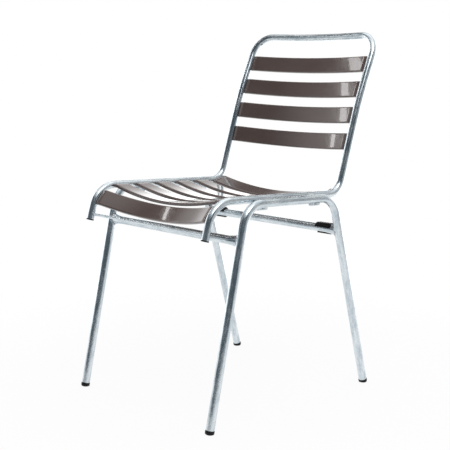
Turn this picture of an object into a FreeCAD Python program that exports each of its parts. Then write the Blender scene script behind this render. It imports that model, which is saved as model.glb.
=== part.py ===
"""Stacking garden chair: galvanised steel tube with sprung glass-fibre slats.

Two bent leg frames stand left and right and are tied by two cross tubes. One continuous bent tube
makes the nose, the seat rails, the back uprights and the top rail. It hangs between the leg frames
on four spacer plates. Seven seat slats and four back slats span the inside of that tube.

Millimetres. X runs to the right as the chair is seen from the front, -Y is the front, +Z is up. The
origin is on the floor, in the middle of the chair's whole width and depth.
"""
import FreeCAD, Part
import math
import os

import Sketcher

Vector = FreeCAD.Vector
Placement = FreeCAD.Placement
Rotation = FreeCAD.Rotation
ALONG_X = Vector(1, 0, 0)
ALONG_Z = Vector(0, 0, 1)

# Driving dimensions: cell name, value, what it measures.
DIMENSIONS = [
    ("leg_tube_diameter", 18, "outside diameter of the leg frames' tube"),
    ("leg_tube_wall", 1.5, "wall of the leg frames' tube"),
    ("seat_tube_diameter", 16, "outside diameter of the seat and back tube"),
    ("seat_tube_wall", 1.5, "wall of the seat and back tube"),
    ("cross_tube_diameter", 18, "outside diameter of the two cross tubes"),
    ("cross_tube_wall", 1.5, "wall of the two cross tubes"),
    ("tie_rod_diameter", 6, "solid rod between the two noses of the seat tube"),
    ("leg_frame_width", 418.4, "between the centre lines of the two leg frames"),
    ("foot_spread", 493, "between the front and the rear foot on the floor"),
    ("origin_setback", 26.4, "origin behind the middle of the four feet"),
    ("front_corner_setback", 100.5, "leg frame's sharp front corner behind the front foot"),
    ("front_corner_height", 455.3, "leg frame's sharp front corner above the floor"),
    ("rear_corner_setback", 124.8, "leg frame's sharp rear corner ahead of the rear foot"),
    ("rear_corner_height", 445.7, "leg frame's sharp rear corner above the floor"),
    ("leg_bend_radius", 53, "centre-line radius of the leg frame's two bends"),
    ("front_cross_drop", 74, "front cross tube below the leg frame's sharp front corner"),
    ("rear_cross_drop", 74.7, "rear cross tube below the leg frame's sharp rear corner"),
    ("pressed_end_length", 28, "pressed end of a cross tube, from the round part to the leg"),
    ("pressed_end_height", 25, "cross tube's pressed end from top to bottom"),
    ("pressed_end_depth", 12.5, "cross tube's pressed end from front to rear"),
    ("seat_side_gap", 4, "between the seat tube and the leg frame at either side"),
    ("seat_rise_front", 6.2, "seat rail above the leg frame at its front corner"),
    ("seat_rise_rear", 5.1, "seat rail above the leg frame at its rear corner"),
    ("seat_nose_reach", 72, "seat tube's sharp front corner ahead of the leg frame's"),
    ("nose_length", 77.3, "from the seat tube's sharp front corner down to its open end"),
    ("nose_lean", 16.6, "degrees that the nose leans from upright"),
    ("nose_bend_radius", 61, "centre-line radius at the front edge of the seat"),
    ("back_corner_reach", 41.4, "seat tube's sharp rear corner behind the leg frame's"),
    ("back_corner_radius", 40, "centre-line radius between the seat and the back"),
    ("back_lean_lower", 17.6, "degrees that the lower back leans from upright"),
    ("back_lean_upper", 23.5, "degrees that the upper back leans from upright"),
    ("upper_back_length", 160.3, "from where the two leans would meet up to the sharp top corner"),
    ("back_knee_radius", 928, "radius that eases one lean into the other"),
    ("back_height", 800, "centre line of the top rail at its corners above the floor"),
    ("top_corner_radius", 50, "centre-line radius of the two top corners"),
    ("top_rail_bow_depth", 14, "sharp middle of the top rail behind its corners"),
    ("top_rail_straight_length", 19.7, "straight run between a top corner and the bow"),
    ("slat_width", 38, "slat from edge to edge"),
    ("slat_thickness", 2.5, "wall of the moulded slat"),
    ("slat_lip", 6.5, "height of the slat's turned-down edges"),
    ("slat_edge_radius", 3, "outside radius along the slat's two edges"),
    ("slat_inner_radius", 1, "inside radius along the slat's two edges"),
    ("slat_flat_end", 10, "flat part at each end of a slat"),
    ("slat_end_bend_radius", 25, "radius where the flat end turns down into the dip"),
    ("slat_block_length", 14, "solid moulded block at each end of a slat"),
    ("slat_block_depth", 5, "underside of that end block below the slat's top"),
    ("slat_end_clearance", 0.3, "gap between a slat's end and the tube"),
    ("seat_slat_rise", 2, "seat slat's flat ends above the tube's centre line"),
    ("slat_pitch", 61.5, "from slat to slat along the tube"),
    ("nose_slat_drop", 55.9, "first slat ahead of the nose bend's upper end, along the tube"),
    ("seat_slat_setback", 9.1, "second slat behind the nose bend's upper end, along the tube"),
    ("back_slat_drop", 20.1, "highest back slat below the top corner's bend, along the tube"),
    ("nose_slat_dip", 27, "dip in the middle of the first slat"),
    ("seat_slat_dip", 20, "dip in the middle of the other seat slats"),
    ("back_low_slat_dip", 18, "dip in the middle of the lowest back slat"),
    ("back_top_slat_dip", 10.5, "dip in the middle of the highest back slat"),
    ("plate_length", 32, "spacer plate along the rail"),
    ("plate_height", 21, "spacer plate from top to bottom"),
    ("plate_drop", 6.8, "spacer plate below the underside of the leg tube"),
    ("plate_corner_radius", 3, "rounded lower corners of the spacer plate"),
    ("plate_hole_diameter", 4.5, "hole through the spacer plate"),
    ("plate_hole_height", 5, "that hole above the plate's lower edge"),
    ("plate_weld_bite", 0.4, "how far the plate is let into each tube's round side"),
    ("front_plate_setback", 55, "front spacer plate behind the leg frame's front corner"),
    ("rear_plate_setback", 49, "rear spacer plate ahead of the leg frame's rear corner"),
    ("lug_length", 12, "slat lug, from its free end to the side of the tube"),
    ("lug_weld_reach", 6, "slat lug under the round side of the tube"),
    ("lug_width", 22, "slat lug across the slat"),
    ("lug_thickness", 3, "slat lug"),
    ("lug_corner_radius", 4, "rounded free corners of the slat lug"),
    ("lug_clearance", 0.1, "gap between the slat lug and the slat's end block"),
    ("screw_diameter", 5, "slat screw's shank"),
    ("screw_depth", 3.8, "how far the slat screw reaches into the end block"),
    ("screw_head_diameter", 9, "slat screw's head"),
    ("screw_head_height", 2.6, "slat screw's head"),
    ("screw_head_rounding", 1.4, "rounded rim of the screw's head"),
    ("screw_inset", 6.5, "slat screw from the end of the slat"),
    ("hole_clearance", 0.2, "room round the screw's shank in the lug"),
    ("weld_flare", 5, "how much wider the weld round a cross tube would be at the leg's axis"),
    ("weld_edge_thickness", 0.15, "weld's thickness where it runs out on the cross tube"),
    ("weld_length", 5, "weld along the cross tube"),
    ("rod_rise", 11.5, "tie rod above the seat tube's open end, along the tube"),
    ("rod_weld_radius", 5, "round weld at each end of the tie rod"),
    ("cap_height", 8, "foot cap's head along the leg"),
    ("cap_overlap", 0.8, "foot cap's head out from the tube"),
    ("cap_edge_radius", 4.2, "rounded lower edge of the foot cap"),
    ("cap_plug_length", 14, "foot cap's plug inside the tube"),
    ("cap_tread_depth", 1.6, "foot cap's round sole past the plane that it is ground to"),
    ("nose_plug_head", 2.4, "head of the plug in the seat tube's open end"),
    ("nose_plug_overlap", 0.4, "that head out from the tube"),
    ("nose_plug_length", 12, "plug inside the seat tube"),
    ("plug_clearance", 0.05, "room between a plug and its tube"),
    ("clip_length", 39.5, "stacking clip along the rear cross tube"),
    ("clip_gap", 11, "from the leg to the stacking clip"),
    ("clip_wall", 3.2, "wall of the stacking clip's ring"),
    ("clip_pad_rise", 3.6, "stacking pad above the cross tube"),
    ("clip_pad_width", 15, "stacking pad from front to rear"),
    ("clip_pad_chamfer", 3.2, "sloped inner end of the stacking pad"),
    ("clip_pad_rounding", 2.5, "rounded long edges of the stacking pad"),
    ("clip_mouth", 100, "degrees of the clip's mouth, from the front down to underneath"),
    ("clip_front_edge", 15, "degrees of the clip's front edge above level"),
    ("vent_diameter", 4.5, "vent holes of the bent tubes"),
]

# Dimensions that follow from the driving ones.
DERIVED = [
    ("leg_radius", "leg_tube_diameter / 2"),
    ("leg_bore_radius", "leg_radius - leg_tube_wall"),
    ("leg_side", "leg_frame_width / 2"),
    ("foot_front", "-foot_spread / 2 - origin_setback"),
    ("foot_rear", "foot_spread / 2 - origin_setback"),
    ("leg_front_corner", "foot_front + front_corner_setback"),
    ("leg_rear_corner", "foot_rear - rear_corner_setback"),
    ("front_leg_length", "sqrt(front_corner_setback^2 + front_corner_height^2)"),
    ("rear_leg_length", "sqrt(rear_corner_setback^2 + rear_corner_height^2)"),
    ("front_tube_start", "foot_front + front_corner_setback * cap_height / front_leg_length"),
    ("front_tube_bottom", "front_corner_height * cap_height / front_leg_length"),
    ("rear_tube_start", "foot_rear - rear_corner_setback * cap_height / rear_leg_length"),
    ("rear_tube_bottom", "rear_corner_height * cap_height / rear_leg_length"),
    ("cross_radius", "cross_tube_diameter / 2"),
    ("cross_bore_radius", "cross_radius - cross_tube_wall"),
    ("front_cross_height", "front_corner_height - front_cross_drop"),
    ("rear_cross_height", "rear_corner_height - rear_cross_drop"),
    ("front_cross_place", "foot_front + front_corner_setback * front_cross_height / front_corner_height"),
    ("rear_cross_place", "foot_rear - rear_corner_setback * rear_cross_height / rear_corner_height"),
    ("pressed_rise", "pressed_end_height / 2"),
    ("pressed_reach", "pressed_end_depth / 2"),
    ("pressed_bore_rise", "pressed_rise - cross_tube_wall"),
    ("pressed_bore_reach", "pressed_reach - cross_tube_wall"),
    ("cross_round_half", "leg_side - leg_radius - pressed_end_length"),
    ("cross_round_length", "cross_round_half * 2"),
    ("weld_share", "(leg_radius + weld_length) / (leg_radius + pressed_end_length)"),
    ("weld_rise", "pressed_rise + weld_flare"),
    ("weld_reach", "pressed_reach + weld_flare"),
    ("weld_end_rise", "pressed_rise + (cross_radius - pressed_rise) * weld_share + weld_edge_thickness"),
    ("weld_end_reach", "pressed_reach + (cross_radius - pressed_reach) * weld_share + weld_edge_thickness"),
    ("weld_end", "leg_side - leg_radius - weld_length"),
    ("seat_radius", "seat_tube_diameter / 2"),
    ("seat_bore_radius", "seat_radius - seat_tube_wall"),
    ("seat_side", "leg_side - leg_radius - seat_side_gap - seat_radius"),
    ("seat_frame_width", "seat_side * 2"),
    ("tube_side", "seat_side - seat_radius"),
    ("top_rail_half", "sqrt(seat_side^2 + top_rail_bow_depth^2)"),
    ("top_rail_bow_half", "top_rail_half - top_corner_radius - top_rail_straight_length"),
    ("top_rail_bow_radius", "top_rail_bow_half * seat_side / top_rail_bow_depth"),
    ("slat_half", "tube_side - slat_end_clearance"),
    ("slat_run", "slat_half - slat_flat_end"),
    ("slat_side", "slat_width / 2"),
    ("slat_inner_side", "slat_side - slat_thickness"),
    ("slat_block_end", "slat_half - slat_block_length"),
    ("slat_block_rise", "slat_block_depth - slat_thickness / 2"),
    ("nose_slat_sink", "nose_bend_radius - sqrt(nose_bend_radius^2 - slat_side^2) - seat_slat_rise"),
    ("back_slat_1_dip", "back_low_slat_dip"),
    ("back_slat_2_dip", "(back_low_slat_dip * 2 + back_top_slat_dip) / 3"),
    ("back_slat_3_dip", "(back_low_slat_dip + back_top_slat_dip * 2) / 3"),
    ("back_slat_4_dip", "back_top_slat_dip"),
    ("plate_inner", "seat_side + seat_radius - plate_weld_bite"),
    ("plate_outer", "leg_side - leg_radius + plate_weld_bite"),
    ("plate_thickness", "plate_outer - plate_inner"),
    ("plate_half", "plate_length / 2"),
    ("plate_hole_radius", "plate_hole_diameter / 2"),
    ("lug_free_end", "tube_side - lug_length"),
    ("lug_welded_end", "tube_side + lug_weld_reach"),
    ("lug_side", "lug_width / 2"),
    ("lug_underside", "slat_block_depth + lug_clearance + lug_thickness"),
    ("screw_radius", "screw_diameter / 2"),
    ("screw_hole_radius", "screw_radius + hole_clearance"),
    ("screw_head_radius", "screw_head_diameter / 2"),
    ("screw_place", "slat_half - screw_inset"),
    ("screw_bottom", "lug_underside + screw_head_height"),
    ("screw_top", "slat_block_depth - screw_depth"),
    ("rod_radius", "tie_rod_diameter / 2"),
    ("cap_radius", "leg_radius + cap_overlap"),
    ("cap_plug_radius", "leg_bore_radius - plug_clearance"),
    ("cap_plug_top", "cap_height + cap_plug_length"),
    ("nose_plug_radius", "seat_bore_radius - plug_clearance"),
    ("nose_plug_head_radius", "seat_radius + nose_plug_overlap"),
    ("nose_plug_rounding", "nose_plug_head / 2"),
    ("clip_radius", "cross_radius + clip_wall"),
    ("clip_outer_end", "leg_side - leg_radius - clip_gap"),
    ("clip_inner_end", "clip_outer_end - clip_length"),
    ("clip_pad_top", "cross_radius + clip_pad_rise"),
    ("clip_pad_shoulder", "clip_pad_top - clip_pad_chamfer"),
    ("clip_pad_slope_end", "clip_inner_end + clip_pad_chamfer"),
    ("clip_wrap", "360 - clip_mouth"),
    ("vent_radius", "vent_diameter / 2"),
]

# A slat's path is two flats joined by a shallow V whose point is rounded into the dip.
SLAT_KINDS = ["nose_slat", "seat_slat", "back_slat_1", "back_slat_2", "back_slat_3", "back_slat_4"]
for kind in SLAT_KINDS:
    dip = kind + "_dip"
    DERIVED.append((kind + "_point", "slat_run * tan(2 * atan(%s / slat_run))" % dip))
    DERIVED.append((kind + "_radius",
                    "0.97 * (slat_run^2 + %s^2) / (2 * %s) - slat_end_bend_radius" % (dip, dip)))

SEAT_SLATS = 7
BACK_SLATS = 4

doc = FreeCAD.newDocument("garden_chair")
sheet = doc.addObject("Spreadsheet::Sheet", "sizes")


def fill_sheet():
    """Write every dimension into the sheet, one row each, and name its cell."""
    row = 0
    for name, value, meaning in DIMENSIONS:
        row += 1
        sheet.set("A%d" % row, meaning)
        sheet.set("B%d" % row, str(value))
        sheet.setAlias("B%d" % row, name)
    for name, formula in DERIVED:
        row += 1
        sheet.set("B%d" % row, "=" + formula)
        sheet.setAlias("B%d" % row, name)
    doc.recompute()


def size(name):
    """A cell's value, or its negative where the name has a minus sign."""
    if name.startswith("-"):
        return -float(sheet.get(name[1:]))
    return float(sheet.get(name))


def cell(name):
    """The same cell as a term of a formula."""
    if name.startswith("-"):
        return "-sizes." + name[1:]
    return "sizes." + name


def bind(target, **cells):
    """Tie an object's properties to cells of the sheet."""
    for prop, name in cells.items():
        target.setExpression(prop, cell(name))


fill_sheet()


# Sketched paths and outlines


def bend_points(before, corner, after, radius):
    """Where an arc leaves the first line, where it meets the second, and its centre."""
    to_before = (before - corner).normalize()
    to_after = (after - corner).normalize()
    half_angle = math.acos(to_before.dot(to_after)) / 2
    middle = (to_before + to_after).normalize()
    reach = radius / math.tan(half_angle)
    centre = corner + middle * (radius / math.sin(half_angle))
    return corner + to_before * reach, corner + to_after * reach, centre


def add_arc(sketch, start, end, centre, radius):
    """A sketched arc: its number, then which of its own ends lies at the start and at the end."""
    from_centre = start - centre
    to_centre = end - centre
    start_angle = math.atan2(from_centre.y, from_centre.x)
    end_angle = math.atan2(to_centre.y, to_centre.x)
    circle = Part.Circle(centre, ALONG_Z, radius)
    if from_centre.cross(to_centre).z > 0:
        return sketch.addGeometry(Part.ArcOfCircle(circle, start_angle, end_angle), False), 1, 2
    return sketch.addGeometry(Part.ArcOfCircle(circle, end_angle, start_angle), False), 2, 1


def constrain(sketch, kind, *items):
    """Add a constraint; a cell's name as its last item gives it that cell's value."""
    name = items[-1]
    if not isinstance(name, str):
        sketch.addConstraint(Sketcher.Constraint(kind, *items))
        return
    index = sketch.addConstraint(Sketcher.Constraint(kind, *items[:-1], size(name)))
    sketch.setExpression("Constraints[%d]" % index, cell(name))


def pin_point(sketch, part, end, place):
    """Hold a point at a place given by two cells, or on an axis where one of them is None."""
    for kind, axis, name in (("DistanceX", -2, place[0]), ("DistanceY", -1, place[1])):
        if name is None:
            constrain(sketch, "PointOnObject", part, end, axis)
        else:
            constrain(sketch, kind, -1, 1, part, end, name)


def place_vector(place):
    """The sketch point that two cells name."""
    across, up = [0 if name is None else size(name) for name in place]
    return Vector(across, up, 0)


def draw_chain(sketch, places, radii, closed):
    """Straight lines through the places; radii names the cell that rounds each rounded corner."""
    corners = [place_vector(place) for place in places]
    count = len(corners)
    arrivals = list(corners)
    departures = list(corners)
    centres = {}
    for index, radius in radii.items():
        following = corners[(index + 1) % count]
        bend = bend_points(corners[index - 1], corners[index], following, size(radius))
        arrivals[index], departures[index], centres[index] = bend
    lines = []
    for index in range(count if closed else count - 1):
        line = Part.LineSegment(departures[index], arrivals[(index + 1) % count])
        lines.append(sketch.addGeometry(line, False))
    for index in range(0 if closed else 1, count if closed else count - 1):
        line_in = lines[index - 1]
        line_out = lines[index]
        if index not in radii:
            constrain(sketch, "Coincident", line_in, 2, line_out, 1)
            pin_point(sketch, line_out, 1, places[index])
            continue
        radius = radii[index]
        arc, first, last = add_arc(sketch, arrivals[index], departures[index], centres[index], size(radius))
        constrain(sketch, "Tangent", line_in, 2, arc, first)
        constrain(sketch, "Tangent", arc, last, line_out, 1)
        corner = sketch.addGeometry(Part.Point(corners[index]), True)
        constrain(sketch, "PointOnObject", corner, 1, line_in)
        constrain(sketch, "PointOnObject", corner, 1, line_out)
        pin_point(sketch, corner, 1, places[index])
        constrain(sketch, "Radius", arc, radius)
    if not closed:
        pin_point(sketch, lines[0], 1, places[0])
        pin_point(sketch, lines[-1], 2, places[-1])


def draw_circles(sketch, *radii, centre=(None, None)):
    """Circles round one centre, one for each cell."""
    for radius in radii:
        circle = sketch.addGeometry(Part.Circle(place_vector(centre), ALONG_Z, size(radius)), False)
        pin_point(sketch, circle, 3, centre)
        constrain(sketch, "Radius", circle, radius)


# Features of a body


def new_body(label):
    """An empty body with its label."""
    body = doc.addObject("PartDesign::Body", label)
    body.Label = label
    return body


def new_sketch(body, name, plane, offset=None):
    """A sketch on one of the body's own origin planes, or as far in front of it as a cell says."""
    sketch = body.newObject("Sketcher::SketchObject", body.Name + "_" + name)
    origin_plane = [item for item in body.Origin.OriginFeatures if item.Role == plane][0]
    sketch.AttachmentSupport = (origin_plane, [""])
    sketch.MapMode = "FlatFace"
    if offset:
        sketch.setExpression("AttachmentOffset.Base.z", cell(offset))
    return sketch


def add_pipe(body, profile, path):
    """A profile drawn along a path."""
    doc.recompute()
    pipe = body.newObject("PartDesign::AdditivePipe", body.Name + "_pipe")
    pipe.Profile = profile
    pipe.Spine = (path, ["Edge%d" % (index + 1) for index in range(len(path.Shape.Edges))])
    doc.recompute()
    return pipe


def add_turned(body, sketch):
    """A profile turned round the body's upright axis."""
    turned = body.newObject("PartDesign::Revolution", body.Name + "_turned")
    turned.Profile = sketch
    turned.ReferenceAxis = (sketch, ["V_Axis"])
    turned.Angle = 360
    doc.recompute()
    return turned


def add_pad(body, sketch, length, both_ways=False):
    """A profile given a thickness."""
    pad = body.newObject("PartDesign::Pad", sketch.Name + "_pad")
    pad.Profile = sketch
    pad.Midplane = both_ways
    bind(pad, Length=length)
    doc.recompute()
    return pad


def add_pocket(body, sketch, length):
    """A hole from the sketch's plane up along its normal."""
    pocket = body.newObject("PartDesign::Pocket", sketch.Name + "_pocket")
    pocket.Profile = sketch
    pocket.Reversed = True
    bind(pocket, Length=length)
    doc.recompute()
    return pocket


def add_fillet(body, base, test, radius):
    """Rounds the edges that pass the test."""
    edges = ["Edge%d" % (index + 1) for index, edge in enumerate(base.Shape.Edges) if test(edge.BoundBox)]
    fillet = body.newObject("PartDesign::Fillet", body.Name + "_round")
    fillet.Base = (base, edges)
    bind(fillet, Radius=radius)
    doc.recompute()
    return fillet


# Single shapes and groups


def add_cylinder(name, radius, height, placement):
    """A cylinder that starts at its placement and runs along its own Z."""
    cylinder = doc.addObject("Part::Cylinder", name)
    bind(cylinder, Radius=radius, Height=height)
    cylinder.Placement = placement
    return cylinder


def cut(label, base, tool):
    """One shape less another."""
    result = doc.addObject("Part::Cut", label)
    result.Label = label
    result.Base = base
    result.Tool = tool
    return result


def fuse(label, members):
    """Several shapes as one."""
    result = doc.addObject("Part::MultiFuse", label)
    result.Label = label
    result.Shapes = members
    result.Refine = False
    return result


def group(label, members):
    """Several separate solids under one label."""
    result = doc.addObject("Part::Compound", label)
    result.Label = label
    result.Links = members
    return result


def place_copy(name, master, placement):
    """A copy of a piece at its own place."""
    copy = doc.addObject("App::Link", name)
    copy.LinkedObject = master
    copy.Placement = placement
    return copy


nodes = []


# Leg frames: one bent tube each, an upright arch at either side


def flat_point(forward, up):
    """A point of the side view, in the middle of the chair."""
    return Vector(0, size(forward), size(up))


foot_front = Vector(0, size("foot_front"), 0)
foot_rear = Vector(0, size("foot_rear"), 0)
leg_front_corner = flat_point("leg_front_corner", "front_corner_height")
leg_rear_corner = flat_point("leg_rear_corner", "rear_corner_height")
front_leg_turn = Rotation(ALONG_Z, leg_front_corner - foot_front)
rear_leg_turn = Rotation(ALONG_Z, leg_rear_corner - foot_rear)


def drill_inside_bend(name, before, corner, after, bend_radius, tube_diameter):
    """A drill from the tube's centre line out through the inner side of a bend."""
    centre = bend_points(before, corner, after, size(bend_radius))[2]
    inward = (centre - corner).normalize()
    start = centre - inward * size(bend_radius)
    return add_cylinder(name, "vent_radius", tube_diameter, Placement(start, Rotation(ALONG_Z, inward)))


def make_leg_frame(label, side):
    body = new_body(label + "_tube")
    path = new_sketch(body, "path", "YZ_Plane")
    places = [
        ("front_tube_start", "front_tube_bottom"),
        ("leg_front_corner", "front_corner_height"),
        ("leg_rear_corner", "rear_corner_height"),
        ("rear_tube_start", "rear_tube_bottom"),
    ]
    draw_chain(path, places, {1: "leg_bend_radius", 2: "leg_bend_radius"}, closed=False)
    section = new_sketch(body, "section", "XY_Plane")
    section.AttachmentOffset = Placement(flat_point("front_tube_start", "front_tube_bottom"), front_leg_turn)
    draw_circles(section, "leg_radius", "leg_bore_radius")
    add_pipe(body, section, path)
    body.setExpression("Placement.Base.x", cell(side))
    to_side = Vector(size(side), 0, 0)
    bend = [point + to_side for point in (leg_front_corner, leg_rear_corner, foot_rear)]
    drill = drill_inside_bend(label + "_vent", *bend, "leg_bend_radius", "leg_tube_diameter")
    return cut(label, body, drill)


left_leg_frame = make_leg_frame("left_leg_frame", "-leg_side")
right_leg_frame = make_leg_frame("right_leg_frame", "leg_side")
nodes += [left_leg_frame, right_leg_frame]


# Foot caps: moulded plugs with a round sole, ground flat where they stand on the floor

foot_cap = new_body("foot_cap_blank")
cap_outline = new_sketch(foot_cap, "outline", "XZ_Plane")
cap_places = [
    (None, "-cap_tread_depth"),
    ("cap_radius", "-cap_tread_depth"),
    ("cap_radius", "cap_height"),
    ("cap_plug_radius", "cap_height"),
    ("cap_plug_radius", "cap_plug_top"),
    (None, "cap_plug_top"),
]
draw_chain(cap_outline, cap_places, {1: "cap_edge_radius"}, closed=True)
add_turned(foot_cap, cap_outline)

below_floor = doc.addObject("Part::Box", "below_floor")
below_floor.setExpression("Length", "sizes.leg_frame_width * 2")
below_floor.setExpression("Width", "sizes.foot_spread * 2")
below_floor.setExpression("Height", "sizes.cap_height")
below_floor.setExpression("Placement.Base.x", "-sizes.leg_frame_width")
below_floor.setExpression("Placement.Base.y", "-sizes.foot_spread")
below_floor.setExpression("Placement.Base.z", "-sizes.cap_height")

LEGS = [
    ("front_left", "-leg_side", foot_front, front_leg_turn, "front_leg_length"),
    ("front_right", "leg_side", foot_front, front_leg_turn, "front_leg_length"),
    ("rear_left", "-leg_side", foot_rear, rear_leg_turn, "rear_leg_length"),
    ("rear_right", "leg_side", foot_rear, rear_leg_turn, "rear_leg_length"),
]
leg_solids = {}
for leg, side, foot, turn, leg_length in LEGS:
    standing = Placement(foot + Vector(size(side), 0, 0), turn)
    blank = place_copy("round_cap_" + leg, foot_cap, standing)
    nodes.append(cut("foot_cap_" + leg, blank, below_floor))
    leg_solids[leg] = add_cylinder("leg_solid_" + leg, "leg_radius", leg_length, standing)


# Cross tubes: round in the middle, pressed oval at both ends, shaped to the legs and welded


def add_oval(name, long_radius, short_radius, placement):
    """An oval section that is tallest along the chair's Z."""
    oval = doc.addObject("Part::Ellipse", name)
    bind(oval, MajorRadius=long_radius, MinorRadius=short_radius)
    oval.Placement = placement
    return oval


def add_circle(name, radius, placement):
    """A round section."""
    circle = doc.addObject("Part::Circle", name)
    bind(circle, Radius=radius)
    circle.Placement = placement
    return circle


def add_loft(name, sections):
    """A solid between two sections."""
    loft = doc.addObject("Part::Loft", name)
    loft.Sections = sections
    loft.Solid = True
    loft.Ruled = True
    return loft


across_chair = Rotation(ALONG_Z, ALONG_X)


def across(distance, place, height):
    """Placement of a section that faces along X, that far to the side."""
    return Placement(Vector(distance, size(place), size(height)), across_chair)


def make_cross_body(name, place, height, radius, rise, reach):
    """A rod with a round middle and oval ends."""
    round_start = across(-size("cross_round_half"), place, height)
    pieces = [add_cylinder(name + "_round", radius, "cross_round_length", round_start)]
    for word, sign in (("left", -1), ("right", 1)):
        round_end = across(sign * size("cross_round_half"), place, height)
        leg_axis = across(sign * size("leg_side"), place, height)
        circle = add_circle("%s_%s_circle" % (name, word), radius, round_end)
        oval = add_oval("%s_%s_oval" % (name, word), rise, reach, leg_axis)
        pieces.append(add_loft("%s_%s_end" % (name, word), [circle, oval]))
    return fuse(name, pieces)


weld_rings = []
for end in ("front", "rear"):
    name = end + "_cross_tube"
    place = end + "_cross_place"
    height = end + "_cross_height"
    legs = group(end + "_legs", [leg_solids[end + "_left"], leg_solids[end + "_right"]])
    outside = make_cross_body(name + "_outside", place, height, "cross_radius",
                              "pressed_rise", "pressed_reach")
    bore = make_cross_body(name + "_bore", place, height, "cross_bore_radius",
                           "pressed_bore_rise", "pressed_bore_reach")
    nodes.append(cut(name, cut(name + "_pipe", outside, bore), legs))
    for word, sign in (("left", -1), ("right", 1)):
        weld = "%s_%s_weld" % (end, word)
        thick_end = add_oval(weld + "_thick_end", "weld_rise", "weld_reach",
                             across(sign * size("leg_side"), place, height))
        thin_end = add_oval(weld + "_thin_end", "weld_end_rise", "weld_end_reach",
                            across(sign * size("weld_end"), place, height))
        fillet_weld = cut(weld + "_ring", add_loft(weld + "_cone", [thick_end, thin_end]), outside)
        weld_rings.append(cut(weld, fillet_weld, leg_solids[end + "_" + word]))
nodes.append(group("cross_tube_welds", weld_rings))


# Seat and back tube: one tube from nose to nose, by way of the rails, the uprights and the top rail


def leaning(degrees):
    """Upward direction that leans back by so many degrees."""
    return Vector(0, math.sin(math.radians(degrees)), math.cos(math.radians(degrees)))


front_rail = leg_front_corner + ALONG_Z * size("seat_rise_front")
rear_rail = leg_rear_corner + ALONG_Z * size("seat_rise_rear")
rail_direction = (rear_rail - front_rail).normalize()
nose_direction = leaning(size("nose_lean"))
lower_back = leaning(size("back_lean_lower"))
upper_back = leaning(size("back_lean_upper"))

nose_corner = front_rail - rail_direction * size("seat_nose_reach")
nose_end = nose_corner - nose_direction * size("nose_length")
back_corner = rear_rail + rail_direction * size("back_corner_reach")
knee_height = size("back_height") - upper_back.z * size("upper_back_length")
back_knee = back_corner + lower_back * ((knee_height - back_corner.z) / lower_back.z)
top_corner = back_knee + upper_back * size("upper_back_length")
behind_back = Vector(0, upper_back.z, -upper_back.y)
top_middle = top_corner + behind_back * size("top_rail_bow_depth")

to_seat_side = Vector(size("seat_side"), 0, 0)
half_corners = [nose_end, nose_corner, back_corner, back_knee, top_corner]
half_radii = ["nose_bend_radius", "back_corner_radius", "back_knee_radius", "top_corner_radius"]
right_corners = [corner + to_seat_side for corner in half_corners]
left_corners = [corner - to_seat_side for corner in half_corners]
tube_corners = right_corners + [top_middle] + left_corners[::-1]
tube_radii = half_radii + ["top_rail_bow_radius"] + half_radii[::-1]

tube_edges = []
bend_starts = []
bend_ends = []
travelled = 0
run_start = tube_corners[0]
for index, radius in enumerate(tube_radii, 1):
    corner = tube_corners[index]
    start, end, centre = bend_points(tube_corners[index - 1], corner, tube_corners[index + 1], size(radius))
    middle = centre + (corner - centre).normalize() * size(radius)
    straight = Part.LineSegment(run_start, start).toShape()
    bend = Part.Arc(start, middle, end).toShape()
    bend_starts.append(travelled + straight.Length)
    bend_ends.append(travelled + straight.Length + bend.Length)
    tube_edges += [straight, bend]
    travelled = bend_ends[-1]
    run_start = end
tube_edges.append(Part.LineSegment(run_start, tube_corners[-1]).toShape())
nose_bend_end = bend_ends[half_radii.index("nose_bend_radius")]
top_bend_start = bend_starts[half_radii.index("top_corner_radius")]
tube_line = doc.addObject("Part::Feature", "seat_back_tube_line")
tube_line.Shape = Part.Wire(tube_edges)

up_the_nose = Rotation(ALONG_Z, nose_direction)


def sweep_tube(name, radius):
    """A round section drawn along the tube's centre line."""
    sweep = doc.addObject("Part::Sweep", name)
    sweep.Sections = [add_circle(name + "_section", radius, Placement(tube_corners[0], up_the_nose))]
    sweep.Spine = (tube_line, [])
    sweep.Solid = True
    sweep.Frenet = False
    return sweep


tube_outside = sweep_tube("seat_back_tube_outside", "seat_radius")
tube_bore = sweep_tube("seat_back_tube_bore", "seat_bore_radius")
tube_vents = []
for word, offset in (("right", to_seat_side), ("left", -to_seat_side)):
    tube_vents.append(drill_inside_bend("top_vent_" + word, back_knee + offset, top_corner + offset,
                                        top_middle, "top_corner_radius", "seat_tube_diameter"))
seat_back_tube = cut("seat_back_tube", cut("seat_back_tube_pipe", tube_outside, tube_bore),
                     group("top_vents", tube_vents))
nodes.append(seat_back_tube)

# Nose plugs: moulded caps pressed into the two open ends of that tube

nose_plug = new_body("nose_plug_blank")
plug_outline = new_sketch(nose_plug, "outline", "XZ_Plane")
plug_places = [
    (None, "-nose_plug_head"),
    ("nose_plug_head_radius", "-nose_plug_head"),
    ("nose_plug_head_radius", None),
    ("nose_plug_radius", None),
    ("nose_plug_radius", "nose_plug_length"),
    (None, "nose_plug_length"),
]
draw_chain(plug_outline, plug_places, {1: "nose_plug_rounding"}, closed=True)
add_turned(nose_plug, plug_outline)
for word, offset in (("left", -to_seat_side), ("right", to_seat_side)):
    copy = place_copy("nose_plug_copy_" + word, nose_plug, Placement(nose_end + offset, up_the_nose))
    nodes.append(group("nose_plug_" + word, [copy]))

# Tie rod: a thin rod between the two noses, with a round weld at each end

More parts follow.
